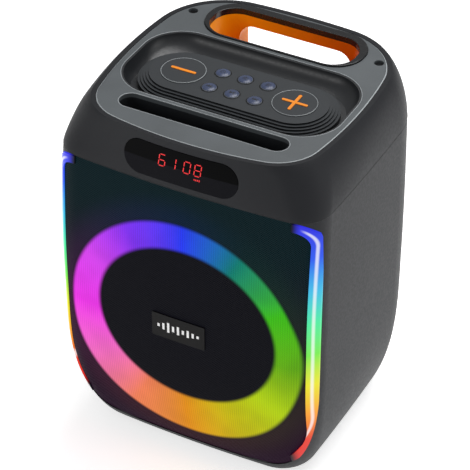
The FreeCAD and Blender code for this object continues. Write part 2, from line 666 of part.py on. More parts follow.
def front_frame():
    """Ring behind the mesh and the bars that everything in front snaps onto."""
    solid = feature("frame_form", form(size("frame_in"), size("opening_low") - 8, size("split_z")))
    outer = common("frame_outer", solid, front_slab("frame_slab", "gap", start="frame_back"))
    inner = slab("frame_inner", "opening_half - gap - frame_wide", "opening_low + gap + frame_low",
                 "opening_high - frame_wide", "opening_low_corner - frame_low", "far",
                 high_corner="opening_top_corner - frame_wide", y="frame_back + 10", turn=FACE_FRONT)
    node(cut("frame", outer, inner, *strip_boxes("frame", "0.2")), "front_frame")


def baffle():
    """Board that the driver, the light ring and the front frame are fixed to."""
    board = slab("baffle_board", "baffle_half", "baffle_low", "baffle_high", "baffle_low_corner",
                 "baffle_thick", high_corner="baffle_top_corner", y="frame_back + baffle_thick",
                 turn=FACE_FRONT)
    hole = rod("baffle_hole", "cutout_radius", "40", y="frame_back + 20", z="driver_z", turn=FACE_FRONT)
    drilled = [rod(f"baffle_drill{index}", "shank_radius", "shank_long", x=x, y="frame_back + 8", z=z,
                   turn=FACE_FRONT) for index, (x, z) in enumerate(driver_screw_places())]
    node(cut("baffle", board, hole, *drilled), "baffle")


DRIVER_SCREWS = 8


def around(share):
    """Cosine and sine of a share of the full turn, short enough for an expression."""
    angle = 2 * math.pi * share
    return round(math.cos(angle), 6), round(math.sin(angle), 6)


def driver_screw_places():
    """Eight places round the driver's flange, as expressions."""
    places = []
    for index in range(DRIVER_SCREWS):
        along, up = around((index + 0.5) / DRIVER_SCREWS)
        places.append((f"driver_screw_ring * {along}", f"driver_z + driver_screw_ring * {up}"))
    return places


RING_LEDS = 24


def light_ring():
    """Diffuser channel with its LED board and LEDs."""
    back, front = size("frame_back"), size("frame_back - ring_high")
    outer, inner, wall = size("ring_outer"), size("ring_inner"), size("ring_wall")
    channel = [(outer, back), (outer, front), (inner, front), (inner, back), (inner + wall, back),
               (inner + wall, front + wall), (outer - wall, front + wall), (outer - wall, back)]
    node(turned("ring_channel", channel, z=size("driver_z")), "light_ring")
    board_front = back - size("ring_board_thick")
    board = [(outer - 4, back), (outer - 4, board_front), (inner + 3, board_front), (inner + 3, back)]
    node(turned("ring_board", board, z=size("driver_z")), "ring_board")
    middle = "( ring_outer + ring_inner ) / 2"
    leds = []
    for index in range(RING_LEDS):
        along, up = around(index / RING_LEDS)
        leds.append(rod(f"ring_led{index}", "ring_led_radius", "ring_led_high", x=f"{middle} * {along}",
                        y="frame_back - ring_board_thick", z=f"driver_z + {middle} * {up}",
                        turn=FACE_FRONT))
    node(group("ring_led_set", *leds), "ring_leds")


# ---------------------------------------------------------------- the driver

def driver():
    """6.5 inch driver, built round its axis: basket, motor, coil, cone, cap, surround, spider."""
    z = size("driver_z")
    seat, flange = size("frame_back"), size("frame_back - basket_flange")
    plate, sheet_thick, mid = size("plate_y"), size("basket_sheet"), size("basket_mid")
    lip, neck = size("flange_inner"), size("cutout_radius - 0.7")
    basket = [(size("basket_radius"), flange), (size("basket_radius"), seat), (neck, seat),
              (neck, seat + 11), (mid, size("spider_y") + 2), (mid, plate), (26, plate),
              (26, plate - sheet_thick), (mid - sheet_thick, plate - sheet_thick),
              (mid - sheet_thick, size("spider_y")), (lip, seat + 10), (lip, flange)]
    holes = [rod(f"basket_drill{index}", "shank_radius", "20", x=x, y="frame_back + 8", z=hole_z,
                 turn=FACE_FRONT) for index, (x, hole_z) in enumerate(driver_screw_places())]
    node(cut("basket", turned("basket_shell", basket, z=z), *holes), "driver_basket")
    back = plate + size("plate_thick")
    rear = back + size("magnet_thick")
    ring_tool("driver_top_plate", "plate_bore", "magnet_radius", plate, back)
    ring_tool("driver_magnet", "magnet_bore", "magnet_radius", back, rear)
    radius, pole = size("magnet_radius"), size("pole_radius")
    yoke = [(0, plate), (pole, plate), (pole, rear), (radius, rear), (radius, rear + 6), (0, rear + 6)]
    node(turned("yoke", yoke, z=z), "driver_yoke")
    moving_parts(z)
    suspension(z)


def ring_tool(label, bore, radius, start, end):
    """A plain ring about the driver's axis."""
    profile = [(size(bore), start), (size(radius), start), (size(radius), end), (size(bore), end)]
    node(turned(label + "_ring", profile, z=size("driver_z")), label)


def moving_parts(z):
    """Cone, dust cap and voice coil: they travel together along the axis."""
    rim, front, coil = size("cone_radius"), size("cone_y"), size("coil_radius")
    throat, thick = size("cone_y + cone_depth"), size("cone_thick")
    cone = [(rim, front), (coil, throat), (coil, throat + thick), (rim, front + thick)]
    node(turned("cone", cone, z=z), "driver_cone")
    reach = size("cap_radius")
    seat = front + (rim - reach) / (rim - coil) * (throat - front) - 0.05
    high = size("cap_high")
    outer = [(reach * math.sin(math.radians(angle)), seat - high * math.cos(math.radians(angle)))
             for angle in (0, 22, 45, 68, 90)]
    inner = [(radius * 0.95, depth + thick) for radius, depth in reversed(outer[:-1])]
    node(turned("cap", outer + [(reach * 0.96, seat)] + inner, z=z), "dust_cap")
    former = [(coil - size("coil_wall"), throat + 2), (coil, throat + 2), (coil, size("coil_end")),
              (coil - size("coil_wall"), size("coil_end"))]
    node(turned("coil", former, z=z), "voice_coil")


def suspension(z):
    """Half-roll rubber surround and flat spider that hold the cone in the basket."""
    inner, outer = size("cone_radius + 0.3"), size("flange_inner")
    middle, roll = (inner + outer) / 2, (outer - inner) / 2
    y, thick = size("cone_y"), size("roll_thick")
    arc = [Part.Arc(Vector(middle + way * reach, y, z), Vector(middle, y - reach, z),
                    Vector(middle - way * reach, y, z)).toShape()
           for way, reach in ((1, roll), (-1, roll - thick))]
    ends = [Part.makeLine(Vector(middle - roll, y, z), Vector(middle - roll + thick, y, z)),
            Part.makeLine(Vector(middle + roll, y, z), Vector(middle + roll - thick, y, z))]
    face = Part.Face(Part.Wire(Part.__sortEdges__(arc + ends)))
    node(feature("surround", face.revolve(Vector(0, 0, z), Vector(0, 1, 0), 360)), "driver_surround")
    bore, reach = size("coil_radius + 0.3"), size("basket_mid - basket_sheet")
    low, high = size("spider_y"), size("spider_y + spider_thick")
    spider = [(bore, low), (reach, low), (reach, high), (bore, high)]
    node(turned("spider", spider, z=z), "driver_spider")


def driver_screws():
    """Screws through the basket's flange into the baffle."""
    screws = []
    for index, (x, z) in enumerate(driver_screw_places()):
        head = rod(f"driver_head{index}", "head_radius", "head_high", x=x,
                   y="frame_back - basket_flange", z=z, turn=FACE_FRONT)
        shank = rod(f"driver_shank{index}", "shank_radius - 0.05", "shank_long - 4", x=x,
                    y="frame_back - basket_flange + shank_long - 4", z=z, turn=FACE_FRONT)
        screws.append(fuse(f"driver_screw{index}", head, shank))
    node(group("driver_screw_set", *screws), "driver_screws")


# ---------------------------------------------------------------- rear and inside

def bass_port():
    """Reflex tube through the rear wall, with a flange against the wall's inner face."""
    tube = rod("port_tube", "port_radius + port_wall", "90", y="port_start + 90", z="port_z",
               turn=FACE_FRONT)
    trimmed = common("port_trim", tube, feature("port_form", whole(0.2)))
    flange = rod("port_flange_disc", "port_flange", "3", y="half_depth - wall - 0.8", z="port_z",
                 turn=FACE_FRONT)
    bore = rod("port_bore", "port_radius", "120", y="half_depth + 10", z="port_z", turn=FACE_FRONT)
    node(cut("port", fuse("port_body", trimmed, flange), bore), "bass_port")


def socket_panel():
    """Recessed tray in the back with the four kinds of socket."""
    outer = slab("io_outer", "io_half", "io_low", "io_high", "io_corner", "20", y="io_y + 20",
                 turn=FACE_FRONT)
    tray = common("io_trim", outer, feature("io_form", whole(0.3)))
    inner = slab("io_inner", "io_half - io_wall", "io_low + io_wall", "io_high - io_wall",
                 "io_corner - io_wall", "30", y="io_y + io_thick + 30", turn=FACE_FRONT)
    mics = [("mic_left", "0 - mic_x"), ("mic_right", "mic_x")]
    holes = [rod(name + "_hole", "mic_radius", "30", x=x, y="io_y + 10", z="mic_z", turn=FACE_FRONT)
             for name, x in mics]
    holes.append(rod("aux_hole", "aux_radius", "30", x="aux_x", y="io_y + 10", z="mic_z",
                     turn=FACE_FRONT))
    holes.append(box("usb_hole", "usb_wide", "30", "usb_high", "usb_x - usb_wide / 2", "io_y - 10",
                     "usb_z - usb_high / 2"))
    holes.append(charge_slab("charge_hole", "0", "20", "io_y + 10"))
    node(cut("io_tray", tray, inner, *holes), "socket_panel")
    barrels = [barrel(name, x, "mic_radius", "mic_bore", "mic_long") for name, x in mics]
    node(group("mic_pair", *barrels), "mic_sockets")
    node(barrel("aux", "aux_x", "aux_radius", "aux_bore", "aux_long"), "aux_socket")
    shell = box("usb_shell", "usb_wide", "usb_long", "usb_high", "usb_x - usb_wide / 2",
                "io_y + io_thick - usb_long", "usb_z - usb_high / 2")
    cavity = box("usb_cavity", "usb_wide - 2 * usb_wall", "usb_long", "usb_high - 2 * usb_wall",
                 "usb_x - usb_wide / 2 + usb_wall", "io_y + io_thick - usb_long + 2",
                 "usb_z - usb_high / 2 + usb_wall")
    node(cut("usb", shell, cavity), "usb_socket")
    end = "io_y + io_thick"
    node(cut("charge", charge_slab("charge_shell", "0", "charge_long", end),
             charge_slab("charge_cavity", "charge_wall", "charge_long", f"{end} + 1")), "charge_socket")


def barrel(name, x, radius, bore, long):
    """A jack socket: a tube along Y, flush with the tray's floor and closed at its inner end."""
    end = "io_y + io_thick"
    tube = rod(name + "_tube", radius, long, x=x, y=end, z="mic_z", turn=FACE_FRONT)
    hole = rod(name + "_bore", bore, f"{long} - 2", x=x, y=end, z="mic_z", turn=FACE_FRONT)
    return cut(name + "_barrel", tube, hole)


def charge_slab(name, inset, long, y):
    return slab(name, f"charge_half - {inset}", f"{inset} - charge_half_high",
                f"charge_half_high - {inset}", f"charge_half_high - {inset} - 0.1", long,
                x="charge_x", y=y, z="usb_z", turn=FACE_FRONT)


def amplifier():
    """Amplifier board with a finned heat sink."""
    node(slab("amp_board", "amp_half", "amp_low", "amp_high", "3", "amp_thick", y="amp_y + amp_thick",
              turn=FACE_FRONT), "amplifier_board")
    base = box("sink_plate", "2 * sink_half", "sink_base", "sink_high - sink_low", "0 - sink_half",
               "amp_y - sink_base", "sink_low")
    fins = [box(f"sink_fin{index}", "fin_thick", "fin_long + 0.5", "sink_high - sink_low",
                f"{index} * fin_pitch - fin_thick / 2", "amp_y - sink_base - fin_long", "sink_low")
            for index in range(-4, 5)]
    node(fuse("sink", base, *fins), "heat_sink")


def battery():
    """Four cells lying across an open tray on the floor."""
    wide = "cell_long + 2 * tray_wall + 1"
    deep = "4 * cell_pitch + 2 * tray_wall"
    outer = box("tray_block", wide, deep, "tray_high", f"0 - ( {wide} ) / 2", f"0 - ( {deep} ) / 2",
                "tray_z")
    inner = box("tray_space", "cell_long + 1", "4 * cell_pitch", "tray_high",
                "0 - ( cell_long + 1 ) / 2", "0 - 2 * cell_pitch", "tray_z + tray_wall")
    node(cut("tray", outer, inner), "battery_tray")
    across = Rotation(Vector(0, 1, 0), 90)
    cells = [rod(f"cell{index}", "cell_radius", "cell_long", x="0 - cell_long / 2",
                 y=f"( {index} - 1.5 ) * cell_pitch", z="tray_z + tray_wall + cell_radius", turn=across)
             for index in range(4)]
    node(group("cell_set", *cells), "battery_cells")


def feet():
    """Four rubber feet under the cabinet."""
    discs = [rod(f"foot{index}", "foot_radius", "foot_height", x=f"{way_x} * foot_x",
                 y=f"{way_y} * foot_y", z="0")
             for index, (way_x, way_y) in enumerate(((-1, -1), (1, -1), (-1, 1), (1, 1)))]
    node(group("foot_set", *discs), "rubber_feet")


def write_parts():
    """Check every object and write each node's solids to its own file."""
    doc.recompute()
    for thing in doc.Objects:
        if "Invalid" in thing.State or "Error" in thing.State:
            raise RuntimeError(f"{thing.Name}: {thing.State}")
    os.makedirs("parts", exist_ok=True)
    for thing in nodes:
        shape = thing.Shape
        if shape.isNull() or not shape.isValid() or not shape.Solids:
            raise RuntimeError(f"{thing.Label}: no valid solid")
        shape.exportStep(f"parts/{thing.Label}.step")
        box_size = shape.optimalBoundingBox(False)
        print(f"{thing.Label:18} solids {len(shape.Solids):2} volume {shape.Volume:10.0f}",
              f"z {box_size.ZMin:7.1f} {box_size.ZMax:7.1f} y {box_size.YMin:7.1f} {box_size.YMax:7.1f}",
              f"x {box_size.XMax:6.1f}")


for build in (upper_housing, top_panel, handle, tablet_trough, dish, island, keys, inlays,
              key_electronics, display, panel_screws, seam_gasket, cabinet, front_frame, light_bars,
              led_strips, grille, baffle, light_ring, driver, driver_screws, bass_port, socket_panel, amplifier,
              battery, feet):
    build()
write_parts()
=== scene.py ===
import math

import bmesh
import bpy
from mathutils import Matrix, Vector
from mathutils.bvhtree import BVHTree


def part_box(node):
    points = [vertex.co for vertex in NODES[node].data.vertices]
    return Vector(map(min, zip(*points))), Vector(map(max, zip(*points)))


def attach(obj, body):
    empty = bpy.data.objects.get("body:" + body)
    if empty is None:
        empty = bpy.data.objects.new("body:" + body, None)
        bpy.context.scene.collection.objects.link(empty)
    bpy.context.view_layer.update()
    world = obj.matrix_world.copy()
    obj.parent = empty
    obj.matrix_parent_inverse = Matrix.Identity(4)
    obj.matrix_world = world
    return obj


# A party speaker: dressed CAD shells, a lit ring and bars, domed keys with plain symbols, and a display.
# Metres, in the frame of the CAD model: +Z up, the front faces -Y.

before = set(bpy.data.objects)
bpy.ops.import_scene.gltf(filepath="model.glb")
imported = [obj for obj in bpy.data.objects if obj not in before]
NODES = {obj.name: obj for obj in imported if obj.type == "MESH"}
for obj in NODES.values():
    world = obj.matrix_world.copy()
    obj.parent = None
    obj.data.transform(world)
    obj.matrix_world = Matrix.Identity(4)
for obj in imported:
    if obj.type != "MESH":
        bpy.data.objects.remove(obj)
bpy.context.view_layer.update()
MM = 0.001


# ---------------------------------------------------------------- nodes and materials

def shade(red, green, blue):
    """A linear colour from display values of 0 to 255."""
    def linear(value):
        value /= 255
        return value / 12.92 if value <= 0.04045 else ((value + 0.055) / 1.055) ** 2.4
    return (linear(red), linear(green), linear(blue), 1)


def darker(colour, share):
    return tuple(part * share for part in colour[:3]) + (1,)


class Graph:
    """A material with one Principled shader, whose nodes are written as expressions."""

    def __init__(self, name, **plain):
        self.material = bpy.data.materials.new(name)
        self.material.use_nodes = True
        self.tree = self.material.node_tree
        self.tree.nodes.clear()
        self.shader = self.node("BsdfPrincipled")
        self.tree.links.new(self.shader.outputs[0], self.node("OutputMaterial").inputs[0])
        self.place = self.node("TexCoord").outputs["Object"]
        for key, value in plain.items():
            self.set(key.replace("_", " ").title(), value)

    def node(self, kind, **settings):
        made = self.tree.nodes.new("ShaderNode" + kind)
        for key, value in settings.items():
            setattr(made, key, value)
        return made

    def feed(self, socket, value):
        if isinstance(value, bpy.types.NodeSocket):
            self.tree.links.new(value, socket)
        else:
            socket.default_value = value

    def set(self, name, value):
        self.feed(self.shader.inputs[name], value)

    def math(self, operation, *values, clamp=False):
        made = self.node("Math", operation=operation, use_clamp=clamp)
        for socket, value in zip(made.inputs, values):
            self.feed(socket, value)
        return made.outputs[0]

    def axes(self):
        return self.split(self.place)

    def split(self, vector):
        made = self.node("SeparateXYZ")
        self.feed(made.inputs[0], vector)
        return made.outputs[0], made.outputs[1], made.outputs[2]

    def noise(self, scale, detail=2.0, stretch=None):
        place = self.place
        if stretch:
            mapping = self.node("Mapping")
            self.feed(mapping.inputs["Vector"], place)
            mapping.inputs["Scale"].default_value = stretch
            place = mapping.outputs[0]
        made = self.node("TexNoise")
        self.feed(made.inputs["Vector"], place)
        made.inputs["Scale"].default_value = scale
        made.inputs["Detail"].default_value = detail
        return made.outputs["Fac"]

    def between(self, value, low, high, start=0.0, end=1.0):
        """Smoothly from start to end as value goes from low to high."""
        made = self.node("MapRange", interpolation_type="SMOOTHSTEP")
        for socket, item in zip(made.inputs, (value, low, high, start, end)):
            self.feed(socket, item)
        return made.outputs[0]

    def mix(self, factor, first, second, blend="MIX"):
        made = self.node("Mix", data_type="RGBA", blend_type=blend)
        for socket, item in ((made.inputs[0], factor), (made.inputs[6], first), (made.inputs[7], second)):
            self.feed(socket, item)
        return made.outputs[2]

    def ramp(self, factor, stops):
        made = self.node("ValToRGB")
        self.feed(made.inputs[0], factor)
        elements = made.color_ramp.elements
        while len(elements) < len(stops):
            elements.new(0.5)
        for element, (position, colour) in zip(elements, stops):
            element.position = position
            element.color = colour
        return made.outputs[0]

    def bump(self, height, depth, strength=1.0):
        made = self.node("Bump")
        made.inputs["Strength"].default_value = strength
        made.inputs["Distance"].default_value = depth
        self.feed(made.inputs["Height"], height)
        self.set("Normal", made.outputs[0])

    def level(self):
        """How far the surface faces up: 1 on a level top, 0 on an upright wall."""
        return self.split(self.node("NewGeometry").outputs["Normal"])[2]

    def painted(self):
        """The base colour as it is linked so far."""
        return self.shader.inputs["Base Color"].links[0].from_socket


def grainy(graph, roughness, grain=0.00004, grain_scale=1900, shine=0.5):
    """The surface of a moulding: a fine spark-eroded grain and uneven gloss."""
    graph.set("Specular IOR Level", shine)
    graph.set("Roughness", graph.between(graph.noise(400, 3), 0.3, 0.7, roughness - 0.04, roughness + 0.04))
    graph.bump(graph.noise(grain_scale, 3), grain)


def moulded(name, colour, roughness=0.5, mottle=0.1, **surface_values):
    """Moulded plastic with faint mottling."""
    graph = Graph(name)
    cloud = graph.between(graph.noise(22, 4), 0.3, 0.7, 1 - mottle, 1 + mottle)
    tone = graph.node("VectorMath", operation="SCALE")
    tone.inputs[0].default_value = colour[:3]
    graph.feed(tone.inputs["Scale"], cloud)
    graph.set("Base Color", tone.outputs[0])
    grainy(graph, roughness, **surface_values)
    return graph


def brushed(name, colour, roughness=0.35, stretch=(1, 1, 30)):
    """Metal with fine scratches in one direction."""
    graph = Graph(name, metallic=1.0)
    scratches = graph.noise(900, 3, stretch)
    graph.set("Base Color", graph.mix(scratches, colour, darker(colour, 0.7)))
    graph.set("Roughness", graph.between(scratches, 0.2, 0.8, roughness - 0.08, roughness + 0.12))
    graph.bump(scratches, 0.00002)
    return graph


def woven(name, colour, pitch=0.0012, depth=0.0002):
    """Cloth or paper fibre: two crossed waves over a fibrous noise."""
    graph = Graph(name)
    x, _, z = graph.axes()
    weave = graph.math("MULTIPLY", graph.math("SINE", graph.math("MULTIPLY", x, math.tau / pitch)),
                       graph.math("SINE", graph.math("MULTIPLY", z, math.tau / pitch)))
    height = graph.math("ADD", weave, graph.noise(700, 4))
    graph.set("Base Color", graph.mix(graph.between(height, 0, 1.2), darker(colour, 0.6), colour))
    graph.set("Roughness", graph.between(graph.noise(90), 0.3, 0.7, 0.8, 0.95))
    graph.bump(height, depth)
    return graph


def panel_grey():
    """Lighter where the surface leans over the panel's rim: a painted highlight along the edge."""
    graph = moulded("panel_grey", shade(84, 89, 92), 0.42, grain=0.00003)
    up = graph.level()
    rim_highlight = graph.math("MULTIPLY", graph.between(up, 0.1, 0.25), graph.between(up, 0.93, 0.98, 1, 0))
    graph.set("Base Color", graph.mix(rim_highlight, graph.painted(), shade(196, 202, 205)))
    return graph


def island_grey():
    """The ridges' crests catch the light and their feet stay dark."""
    graph = moulded("island_grey", shade(52, 55, 58), 0.42, grain=0.00002, mottle=0.03, shine=0.3)
    crest = graph.between(graph.level(), 0.2, 0.9)
    graph.set("Base Color", graph.mix(crest, shade(24, 25, 27), graph.painted()))
    return graph


def liner_orange():
    """Orange darkened towards the bottom and the right of the pocket: painted shade in the recess."""
    graph = Graph("liner_orange")
    grainy(graph, 0.42, shine=0.2)
    x, _, z = graph.axes()
    low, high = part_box("handle_liner")
    tone = graph.mix(graph.between(x, low.x, high.x), shade(255, 168, 8), shade(214, 98, 4))
    graph.set("Base Color", graph.mix(graph.between(z, low.z, high.z), shade(196, 66, 0), tone))
    return graph


def smoked_window():
    """Glossy black, with a lighter lower half that is a painted reflection."""
    graph = Graph("smoked_window", roughness=0.12)
    graph.set("Specular IOR Level", 0.04)
    _, _, z = graph.axes()
    low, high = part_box("display_window")
    middle = (low.z + high.z) / 2
    share = graph.between(z, middle - 0.3 * MM, middle + 0.3 * MM)
    reflection_tone = graph.mix(graph.noise(300), shade(17, 17, 21), shade(21, 21, 26))
    graph.set("Base Color", graph.mix(share, reflection_tone, shade(2, 2, 3)))
    graph.bump(graph.noise(90, 1), 0.00002, 0.2)
    return graph


# ---------------------------------------------------------------- light in the front

# Display values, clockwise from the top of the ring and upwards along the bars.
RING_COLOURS = [(40, 60, 250), (10, 125, 110), (60, 190, 20), (100, 175, 15), (180, 210, 15), (205, 190, 10),
                (230, 145, 20), (245, 130, 90), (250, 110, 200), (245, 55, 240), (220, 70, 245), (130, 50, 245)]
BAR_COLOURS = [(220, 30, 35), (230, 60, 40), (250, 160, 50), (235, 230, 45), (120, 235, 80),
               (80, 235, 160), (65, 190, 230), (45, 90, 240), (50, 45, 225)]
# The outer and inner edge of the glow: centre x and z, and half width and half height.
GLOW_OUTER = (3 * MM, 142.5 * MM, 108.5 * MM, 113 * MM)
GLOW_INNER = (5.5 * MM, 153 * MM, 82 * MM, 76.5 * MM)
HOLE_PITCH = 2 * MM
HALO_WIDE = 30 * MM
# The corners of the front opening at its bottom and its top, and where the bars' hooks end and straighten.
OPENING_LOW_CORNER, OPENING_TOP_CORNER = 62 * MM, 22 * MM
HOOK_END, HOOK_LIT, BAR_INNER = 98 * MM, 106 * MM, 112 * MM
CORE_DEPTH = 3.4 * MM


def oval(graph, x, z, edge):
    """Distance from an oval's centre, scaled so that it is the oval's half height on its edge."""
    centre_x, centre_z, half, half_high = edge
    across = graph.math("MULTIPLY", graph.math("SUBTRACT", x, centre_x), half_high / half)
    up = graph.math("SUBTRACT", z, centre_z)
    squares = graph.math("ADD", graph.math("MULTIPLY", across, across), graph.math("MULTIPLY", up, up))
    return graph.math("SQRT", squares), across, up


def clockwise(graph, across, up):
    """Share of a full turn from the top, from 0 to 1."""
    angle = graph.math("ARCTAN2", across, up)
    return graph.math("FRACT", graph.math("ADD", graph.math("DIVIDE", angle, math.tau), 1))


def spectrum(graph, factor, colours, closed):
    """A ramp through the colours, evenly spaced; a closed one ends on its first colour."""
    listed = colours + colours[:1] if closed else colours
    last = len(listed) - 1
    return graph.ramp(factor, [(index / last, shade(*colour)) for index, colour in enumerate(listed)])


def mesh_black():
    """Perforated sheet with the ring's light coming through it."""
    graph = Graph("mesh_black")
    x, _, z = graph.axes()
    wave_x = graph.math("COSINE", graph.math("MULTIPLY", x, math.tau / HOLE_PITCH))
    wave_z = graph.math("COSINE", graph.math("MULTIPLY", z, math.tau / HOLE_PITCH))
    hole = graph.between(graph.math("MULTIPLY", wave_x, wave_z), 0.05, 0.45)
    graph.set("Base Color", graph.mix(hole, shade(8, 10, 12), shade(1, 1, 2)))
    graph.set("Roughness", graph.between(hole, 0, 1, 0.6, 0.9))
    graph.set("Specular IOR Level", 0.05)
    graph.bump(hole, -0.0004, 0.8)

    outer_high, inner_high = GLOW_OUTER[3], GLOW_INNER[3]
    reach, across, up = oval(graph, x, z, GLOW_OUTER)
    inner_reach, _, _ = oval(graph, x, z, GLOW_INNER)
    ring = graph.math("MULTIPLY", graph.between(reach, outer_high - 4 * MM, outer_high + 1 * MM, 1, 0),
                      graph.between(inner_reach, inner_high - 2 * MM, inner_high + 3 * MM))
    colour = spectrum(graph, clockwise(graph, across, up), RING_COLOURS, closed=True)
    lines = graph.between(wave_x, -1, 1, 1.0, 0.84)
    clouds = graph.between(graph.noise(26, 2), 0.3, 0.7, 0.9, 1.06)
    strength = graph.math("MULTIPLY", graph.math("MULTIPLY", ring, lines), clouds)
    outside = graph.between(reach, outer_high - 8 * MM, outer_high + 4 * MM)
    halo = graph.math("MULTIPLY", graph.between(reach, outer_high, outer_high + HALO_WIDE, 0.02, 0), outside)
    # Stray light on the sheet: purple low down, teal high up, and nearly none inside the ring.
    height = graph.between(z, 120 * MM, 260 * MM)
    spill = graph.mix(height, shade(40, 9, 38), shade(6, 33, 38))
    spill = graph.mix(outside, shade(13, 12, 20), spill)
    spill = graph.mix(hole, spill, shade(0, 0, 0))
    lit = graph.mix(graph.math("ADD", strength, halo, clamp=True), spill, colour)
    graph.set("Emission Color", lit)
    graph.set("Emission Strength", 1.0)
    return graph


def light_pipe():
    """Bars that run through the spectrum from bottom to top, with a pale core and unlit hook ends."""
    graph = Graph("light_pipe", roughness=0.3)
    graph.set("Specular IOR Level", 0.1)
    x, _, z = graph.axes()
    low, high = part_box("left_light_bar")
    share = graph.math("DIVIDE", graph.math("SUBTRACT", z, low.z), high.z - low.z, clamp=True)
    colour = spectrum(graph, share, BAR_COLOURS, closed=False)
    # How far inside the rounded rectangle of the opening a point lies, seen from the front.
    middle, half_high, half = (low.z + high.z) / 2, (high.z - low.z) / 2, -low.x
    corner = graph.between(z, middle - 1 * MM, middle + 1 * MM, OPENING_LOW_CORNER, OPENING_TOP_CORNER)
    side = graph.math("ABSOLUTE", x)
    over_x = graph.math("ADD", graph.math("SUBTRACT", side, half), corner)
    tall = graph.math("ABSOLUTE", graph.math("SUBTRACT", z, middle))
    over_z = graph.math("ADD", graph.math("SUBTRACT", tall, half_high), corner)
    out_x = graph.math("MAXIMUM", over_x, 0)
    out_z = graph.math("MAXIMUM", over_z, 0)
    reach = graph.math("SQRT", graph.math("ADD", graph.math("MULTIPLY", out_x, out_x),
                                          graph.math("MULTIPLY", out_z, out_z)))
    inside = graph.math("SUBTRACT", corner, reach)
    off_core = graph.math("ABSOLUTE", graph.math("SUBTRACT", inside, CORE_DEPTH))
    core = graph.between(off_core, 0.3 * MM, 1.5 * MM, 0.62, 0)
    core = graph.math("MULTIPLY", core, graph.between(side, HOOK_LIT - 2 * MM, BAR_INNER))
    lit_share = graph.between(side, HOOK_END, HOOK_LIT)
    graph.set("Base Color", graph.mix(graph.noise(200), shade(7, 7, 9), shade(12, 12, 14)))
    lit = graph.mix(core, colour, (1, 1, 1, 1))
    graph.set("Emission Color", graph.mix(lit_share, shade(4, 4, 12), lit))
    graph.set("Emission Strength", 1.0)
    graph.bump(graph.noise(150, 2), 0.00003)
    return graph


def glowing(name, colour, strength):
    graph = Graph(name, roughness=0.4)
    graph.set("Base Color", graph.mix(graph.noise(800), colour, darker(colour, 0.7)))
    graph.set("Emission Color", colour)
    graph.set("Emission Strength", strength)
    return graph


def diffuser_white():
    """The ring's diffuser, in the same colours as the glow it makes."""
    graph = Graph("diffuser_white", roughness=0.5)
    x, _, z = graph.axes()
    low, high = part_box("light_ring")
    half = (high.z - low.z) / 2
    _, across, up = oval(graph, x, z, (0, low.z + half, half, half))
    graph.set("Base Color", graph.mix(graph.noise(300), shade(220, 220, 220), shade(245, 245, 245)))
    graph.set("Emission Color", spectrum(graph, clockwise(graph, across, up), RING_COLOURS, closed=True))
    graph.set("Emission Strength", 0.8)
    return graph


FINISHES = {
    "shell_black": moulded("shell_black", shade(38, 39, 42), 0.5, mottle=0.02, shine=0.16),
    "panel_grey": panel_grey(),
    "liner_orange": liner_orange(),
    "lip_black": moulded("lip_black", shade(26, 27, 29), 0.24, grain=0.00001),
    "dish_black": moulded("dish_black", shade(34, 36, 39), 0.38, grain=0.00002, mottle=0.03),
    "island_grey": island_grey(),
    "key_slate": moulded("key_slate", shade(82, 86, 93), 0.4, grain=0.00002, mottle=0.04),
    "inlay_orange": moulded("inlay_orange", shade(246, 142, 18), 0.38, grain=0.00002, mottle=0.04),
    "board_green": moulded("board_green", shade(20, 84, 44), 0.4, grain_scale=600),
    "socket_black": moulded("socket_black", shade(18, 18, 19), 0.4),
    "smoked_window": smoked_window(),
    "steel_black": brushed("steel_black", shade(40, 40, 42), 0.4),
    "foam_black": moulded("foam_black", shade(16, 16, 17), 0.95, grain=0.0004, grain_scale=900),
    "frame_black": moulded("frame_black", shade(20, 20, 22), 0.5),
    "light_pipe": light_pipe(),
    "mesh_black": mesh_black(),
    "badge_black": moulded("badge_black", shade(9, 9, 10), 0.4, grain=0.00001, shine=0.12),
    "baffle_board": woven("baffle_board", shade(24, 22, 20), 0.003),
    "diffuser_white": diffuser_white(),
    "led_white": glowing("led_white", shade(250, 250, 240), 0.6),
    "steel_zinc": brushed("steel_zinc", shade(170, 172, 176), 0.35),
    "ferrite": moulded("ferrite", shade(40, 40, 42), 0.7, grain=0.0002, grain_scale=1200),
    "cone_paper": woven("cone_paper", shade(26, 26, 27)),
    "coil_aluminium": brushed("coil_aluminium", shade(190, 190, 192), 0.3),
    "surround_rubber": moulded("surround_rubber", shade(18, 18, 19), 0.6),
    "spider_cloth": woven("spider_cloth", shade(150, 110, 50)),
    "sink_aluminium": brushed("sink_aluminium", shade(175, 177, 180), 0.32),
    "cell_wrap": moulded("cell_wrap", shade(24, 74, 140), 0.3, grain_scale=300),
    "foot_rubber": moulded("foot_rubber", shade(20, 20, 20), 0.8, grain=0.00015, grain_scale=1400),
}


def dress_cad():
    """Give every CAD node the finish of its slot."""
    for item in NODES.values():
        for slot in item.material_slots:
            finish = FINISHES[slot.material.name]
            slot.link = "OBJECT"
            slot.material = finish.material


dress_cad()
SYMBOL_INK = moulded("symbol_ink", shade(16, 17, 20), 0.5, grain=0.00001).material
KEY_DOME = moulded("key_dome", shade(60, 70, 98), 0.26, grain=0.00001, mottle=0.08).material
# Light grey beads on edges are painted highlights.
HIGHLIGHT_BEAD = moulded("highlight_bead", shade(150, 155, 158), 0.35, grain=0.00001).material
EDGE_DARK = moulded("edge_dark", shade(12, 12, 13), 0.6, grain=0.00001).material
SEAM_GREY = moulded("seam_grey", shade(24, 24, 26), 0.6, grain=0.00001).material
MARK_WHITE = moulded("mark_white", shade(235, 235, 235), 0.4, grain=0.00001, mottle=0.03).material
DIGIT_RED = glowing("digit_red", shade(205, 12, 20), 0.8).material


# ---------------------------------------------------------------- making pieces

def piece(name, mesh, material, body):
    """Link a mesh as a piece that rides on a body."""
    made = bpy.data.objects.new(name, mesh)
    bpy.context.scene.collection.objects.link(made)
    mesh.materials.append(material)
    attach(made, body)


